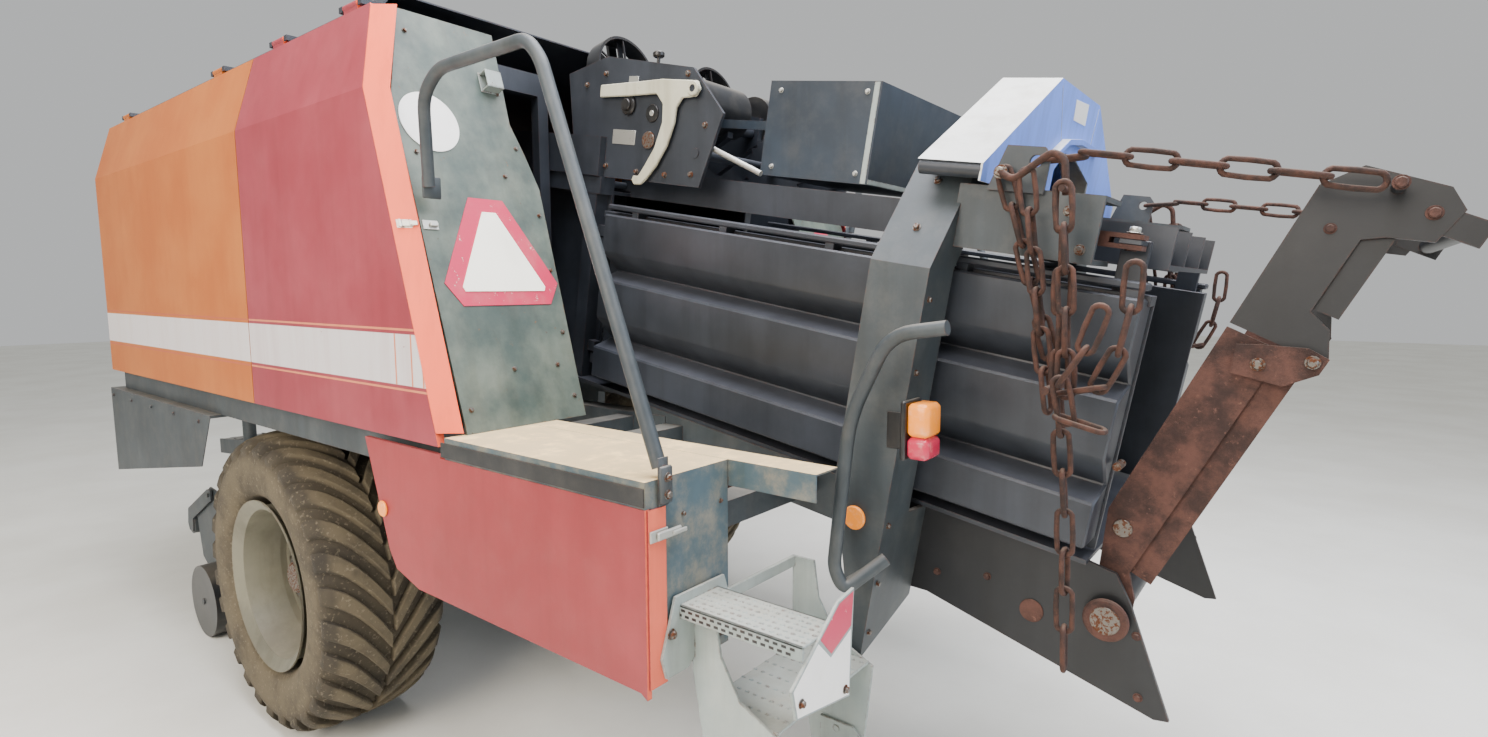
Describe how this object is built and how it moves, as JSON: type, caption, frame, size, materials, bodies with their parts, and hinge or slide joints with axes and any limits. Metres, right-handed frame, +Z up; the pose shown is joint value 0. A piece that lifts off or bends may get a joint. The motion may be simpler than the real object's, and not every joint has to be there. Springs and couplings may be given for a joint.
{
  "type": "towed large square baler",
  "caption": "Towed square baler with raked side panels, sloping bale chamber, portal arch, folded bale chute on chains, rear deck, ladder and pickup.",
  "frame": {"origin": "on the ground, below the middle of the machine's length and width", "axes": "+X to the front (hitch), +Y to the machine's left, +Z up"},
  "size_m": [7.7864, 2.556, 2.8047],
  "materials": {
    "chassis": "weathered",
    "axle": "weathered",
    "tyre_left": "dusty",
    "tyre_right": "dusty",
    "rim_left": "weathered",
    "rim_right": "weathered",
    "chamber": "weathered",
    "wall_left": "weathered",
    "wall_right": "weathered",
    "top_door": "weathered",
    "plunger": "weathered",
    "needle_yoke": "rusty",
    "arch": "weathered",
    "arch_cover": "weathered",
    "density_barrel_left": "weathered",
    "density_barrel_right": "weathered",
    "density_rod_left": "rusty",
    "density_rod_right": "rusty",
    "tail_plates": "weathered",
    "chute_lower": "rusty",
    "chute_upper": "weathered",
    "taut_chain_left": "rusty",
    "taut_chain_right": "rusty",
    "hanging_chain_left": "rusty",
    "hanging_chain_right": "rusty",
    "decks": "weathered",
    "skirts": "faded",
    "ladder": "weathered",
    "ladder_step": "weathered",
    "handrails": "weathered",
    "hood": "weathered",
    "panel_front_left": "faded",
    "panel_front_right": "faded",
    "panel_rear_left": "faded",
    "panel_rear_right": "faded",
    "rear_panels": "weathered",
    "signs": "matte",
    "lights": "gloss",
    "twine_boxes": "weathered",
    "knotter_frame": "weathered",
    "trip_arm": "matte",
    "metering_wheel": "weathered",
    "fan_housing": "weathered",
    "fan_rotor_left": "weathered",
    "fan_rotor_right": "weathered",
    "control_box": "weathered",
    "drawbar": "weathered",
    "hitch_ring": "weathered",
    "jack_tube": "weathered",
    "jack_leg": "weathered",
    "gearbox": "weathered",
    "flywheel": "weathered",
    "flywheel_guard": "weathered",
    "feeder": "weathered",
    "pickup_frame": "weathered",
    "pickup_reel": "weathered",
    "wind_guard": "weathered",
    "gauge_wheel_left": "dusty",
    "gauge_wheel_right": "dusty"
  },
  "bodies": {
    "machine": {"chassis": "chassis", "axle": "axle", "chamber": "chamber", "arch": "arch", "arch_cover": "arch_cover", "tail_plates": "tail_plates", "decks": "decks", "skirts": "skirts", "ladder": "ladder", "handrails": "handrails", "hood": "hood", "rear_panels": "rear_panels", "signs": "signs", "lights": "lights", "twine_boxes": "twine_boxes", "knotter_frame": "knotter_frame", "fan_housing": "fan_housing", "control_box": "control_box", "drawbar": "drawbar", "jack_tube": "jack_tube", "gearbox": "gearbox", "flywheel_guard": "flywheel_guard", "feeder": "feeder"},
    "wheel_left": {"tyre_left": "tyre_left", "rim_left": "rim_left"},
    "wall_left": {"wall_left": "wall_left"},
    "density_barrel_left": {"density_barrel_left": "density_barrel_left"},
    "density_rod_left": {"density_rod_left": "density_rod_left"},
    "wheel_right": {"tyre_right": "tyre_right", "rim_right": "rim_right"},
    "wall_right": {"wall_right": "wall_right"},
    "density_barrel_right": {"density_barrel_right": "density_barrel_right"},
    "density_rod_right": {"density_rod_right": "density_rod_right"},
    "top_door": {"top_door": "top_door"},
    "plunger": {"plunger": "plunger"},
    "needle_yoke": {"needle_yoke": "needle_yoke"},
    "chute_lower": {"chute_lower": "chute_lower"},
    "chute_upper": {"chute_upper": "chute_upper"},
    "taut_chain_left": {"taut_chain_left": "taut_chain_left"},
    "hanging_chain_left": {"hanging_chain_left": "hanging_chain_left"},
    "panel_front_left": {"panel_front_left": "panel_front_left"},
    "panel_rear_left": {"panel_rear_left": "panel_rear_left"},
    "gauge_wheel_left": {"gauge_wheel_left": "gauge_wheel_left"},
    "fan_rotor_left": {"fan_rotor_left": "fan_rotor_left"},
    "taut_chain_right": {"taut_chain_right": "taut_chain_right"},
    "hanging_chain_right": {"hanging_chain_right": "hanging_chain_right"},
    "panel_front_right": {"panel_front_right": "panel_front_right"},
    "panel_rear_right": {"panel_rear_right": "panel_rear_right"},
    "gauge_wheel_right": {"gauge_wheel_right": "gauge_wheel_right"},
    "fan_rotor_right": {"fan_rotor_right": "fan_rotor_right"},
    "ladder_step": {"ladder_step": "ladder_step"},
    "trip_arm": {"trip_arm": "trip_arm"},
    "metering_wheel": {"metering_wheel": "metering_wheel"},
    "jack_leg": {"jack_leg": "jack_leg"},
    "flywheel": {"flywheel": "flywheel"},
    "pickup": {"pickup_frame": "pickup_frame"},
    "pickup_reel": {"pickup_reel": "pickup_reel"},
    "wind_guard": {"wind_guard": "wind_guard"},
    "hitch_ring": {"hitch_ring": "hitch_ring"}
  },
  "joints": [
    {"name": "wheel_left_spin", "type": "hinge", "parent": "machine", "child": "wheel_left", "pos_m": [-0.284, 1.01, 0.63], "axis": [0, 1, 0], "continuous": true},
    {"name": "wall_left_squeeze", "type": "hinge", "parent": "machine", "child": "wall_left", "pos_m": [-1.40543, 0.432, 1.496], "axis": [-0.165, 0, 0.9863], "range_deg": [0, 1.5]},
    {"name": "density_barrel_left_swing", "type": "hinge", "parent": "machine", "child": "density_barrel_left", "pos_m": [-3.01292, 0.516, 1.98945], "axis": [-0.165, 0, 0.9863], "range_deg": [-15, 15]},
    {"name": "density_rod_left_slide", "type": "slide", "parent": "density_barrel_left", "child": "density_rod_left", "axis": [-0.9817, -0.0961, -0.1643], "range_m": [-0.01, 0.06]},
    {"name": "wheel_right_spin", "type": "hinge", "parent": "machine", "child": "wheel_right", "pos_m": [-0.284, -1.01, 0.63], "axis": [0, 1, 0], "continuous": true},
    {"name": "wall_right_squeeze", "type": "hinge", "parent": "machine", "child": "wall_right", "pos_m": [-1.40543, -0.432, 1.496], "axis": [0.165, 0, -0.9863], "range_deg": [0, 1.5]},
    {"name": "density_barrel_right_swing", "type": "hinge", "parent": "machine", "child": "density_barrel_right", "pos_m": [-3.01292, -0.516, 1.98945], "axis": [0.165, 0, -0.9863], "range_deg": [-15, 15]},
    {"name": "density_rod_right_slide", "type": "slide", "parent": "density_barrel_right", "child": "density_rod_right", "axis": [-0.9817, 0.0961, -0.1643], "range_m": [-0.01, 0.06]},
    {"name": "top_door_squeeze", "type": "hinge", "parent": "machine", "child": "top_door", "pos_m": [-1.50751, 0, 2.22718], "axis": [0, -1, 0], "range_deg": [0, 2.5]},
    {"name": "plunger_stroke", "type": "slide", "parent": "machine", "child": "plunger", "axis": [0.9863, 0, 0.165], "range_m": [0, 0.5]},
    {"name": "needle_yoke_swing", "type": "hinge", "parent": "machine", "child": "needle_yoke", "pos_m": [-0.95069, 0, 1.48084], "axis": [0, 1, 0], "range_deg": [0, 66]},
    {"name": "chute_lower", "type": "hinge", "parent": "machine", "child": "chute_lower", "pos_m": [-3.279, 0, 1.048], "axis": [0, -1, 0], "range_deg": [0, 76]},
    {"name": "chute_upper", "type": "hinge", "parent": "chute_lower", "child": "chute_upper", "pos_m": [-3.63496, 0, 1.68658], "axis": [0, -1, 0], "range_deg": [0, 95]},
    {"name": "taut_chain_left_swing", "type": "hinge", "parent": "machine", "child": "taut_chain_left", "pos_m": [-3.11625, 0.597, 2.12222], "axis": [0, -1, 0], "range_deg": [0, 10]},
    {"name": "hanging_chain_left_swing", "type": "hinge", "parent": "machine", "child": "hanging_chain_left", "pos_m": [-3.05179, 0.618, 2.10056], "axis": [0, 1, 0], "range_deg": [-12, 12]},
    {"name": "panel_front_left_lift", "type": "hinge", "parent": "machine", "child": "panel_front_left", "pos_m": [-0.284, 1.178, 2.717], "axis": [1, 0, 0], "range_deg": [0, 75]},
    {"name": "panel_rear_left_lift", "type": "hinge", "parent": "machine", "child": "panel_rear_left", "pos_m": [-0.284, 1.178, 2.717], "axis": [1, 0, 0], "range_deg": [0, 75]},
    {"name": "fan_left_spin", "type": "hinge", "parent": "machine", "child": "fan_rotor_left", "pos_m": [-1.38876, 0.26, 2.6445], "axis": [-0.9833, 0, 0.1822], "continuous": true},
    {"name": "taut_chain_right_swing", "type": "hinge", "parent": "machine", "child": "taut_chain_right", "pos_m": [-3.11625, -0.597, 2.12222], "axis": [0, -1, 0], "range_deg": [0, 10]},
    {"name": "hanging_chain_right_swing", "type": "hinge", "parent": "machine", "child": "hanging_chain_right", "pos_m": [-3.05179, -0.618, 2.10056], "axis": [0, 1, 0], "range_deg": [-12, 12]},
    {"name": "panel_front_right_lift", "type": "hinge", "parent": "machine", "child": "panel_front_right", "pos_m": [-0.284, -1.178, 2.717], "axis": [-1, 0, 0], "range_deg": [0, 75]},
    {"name": "panel_rear_right_lift", "type": "hinge", "parent": "machine", "child": "panel_rear_right", "pos_m": [-0.284, -1.178, 2.717], "axis": [-1, 0, 0], "range_deg": [0, 75]},
    {"name": "fan_right_spin", "type": "hinge", "parent": "machine", "child": "fan_rotor_right", "pos_m": [-1.38876, -0.26, 2.6445], "axis": [-0.9833, 0, 0.1822], "continuous": true},
    {"name": "ladder_step_fold", "type": "hinge", "parent": "machine", "child": "ladder_step", "pos_m": [-2.694, 0, 0.68], "axis": [0, 1, 0], "range_deg": [0, 100]},
    {"name": "trip_arm_swing", "type": "hinge", "parent": "machine", "child": "trip_arm", "pos_m": [-1.98049, 0, 2.48464], "axis": [0, 1, 0], "range_deg": [-15, 20]},
    {"name": "metering_wheel_spin", "type": "hinge", "parent": "machine", "child": "metering_wheel", "pos_m": [-1.9672, 0, 2.28409], "axis": [0, 1, 0], "continuous": true},
    {"name": "jack_leg_slide", "type": "slide", "parent": "machine", "child": "jack_leg", "axis": [0, 0, 1], "range_m": [-0.25, 0]},
    {"name": "flywheel_spin", "type": "hinge", "parent": "machine", "child": "flywheel", "pos_m": [-0.284, 0, 1.25], "axis": [1, 0, 0], "continuous": true},
    {"name": "pickup_lift", "type": "hinge", "parent": "machine", "child": "pickup", "pos_m": [0.901, 0, 0.67], "axis": [0, -1, 0], "range_deg": [0, 12]},
    {"name": "pickup_reel_spin", "type": "hinge", "parent": "pickup", "child": "pickup_reel", "pos_m": [1.166, 0, 0.4], "axis": [0, 1, 0], "continuous": true},
    {"name": "gauge_wheel_left_spin", "type": "hinge", "parent": "pickup", "child": "gauge_wheel_left", "pos_m": [0.966, 1.06, 0.19], "axis": [0, 1, 0], "continuous": true},
    {"name": "gauge_wheel_right_spin", "type": "hinge", "parent": "pickup", "child": "gauge_wheel_right", "pos_m": [0.966, -1.06, 0.19], "axis": [0, 1, 0], "continuous": true},
    {"name": "wind_guard_lift", "type": "hinge", "parent": "pickup", "child": "wind_guard", "pos_m": [1.196, 0, 0.7], "axis": [0, -1, 0], "range_deg": [0, 10]},
    {"name": "hitch_ring_turn", "type": "hinge", "parent": "machine", "child": "hitch_ring", "pos_m": [3.716, 0, 0.52], "axis": [1, 0, 0], "continuous": true}
  ],
  "couplings": [
    {"joint": "density_barrel_left_swing", "follows": "wall_left_squeeze", "ratio": 5.9607},
    {"joint": "density_rod_left_slide", "follows": "wall_left_squeeze", "m_per_rad": 0.34423},
    {"joint": "density_barrel_right_swing", "follows": "wall_right_squeeze", "ratio": 5.9607},
    {"joint": "density_rod_right_slide", "follows": "wall_right_squeeze", "m_per_rad": 0.34423},
    {"joint": "taut_chain_left_swing", "follows": "chute_lower", "ratio": 0.1316},
    {"joint": "taut_chain_right_swing", "follows": "chute_lower", "ratio": 0.1316}
  ]
}
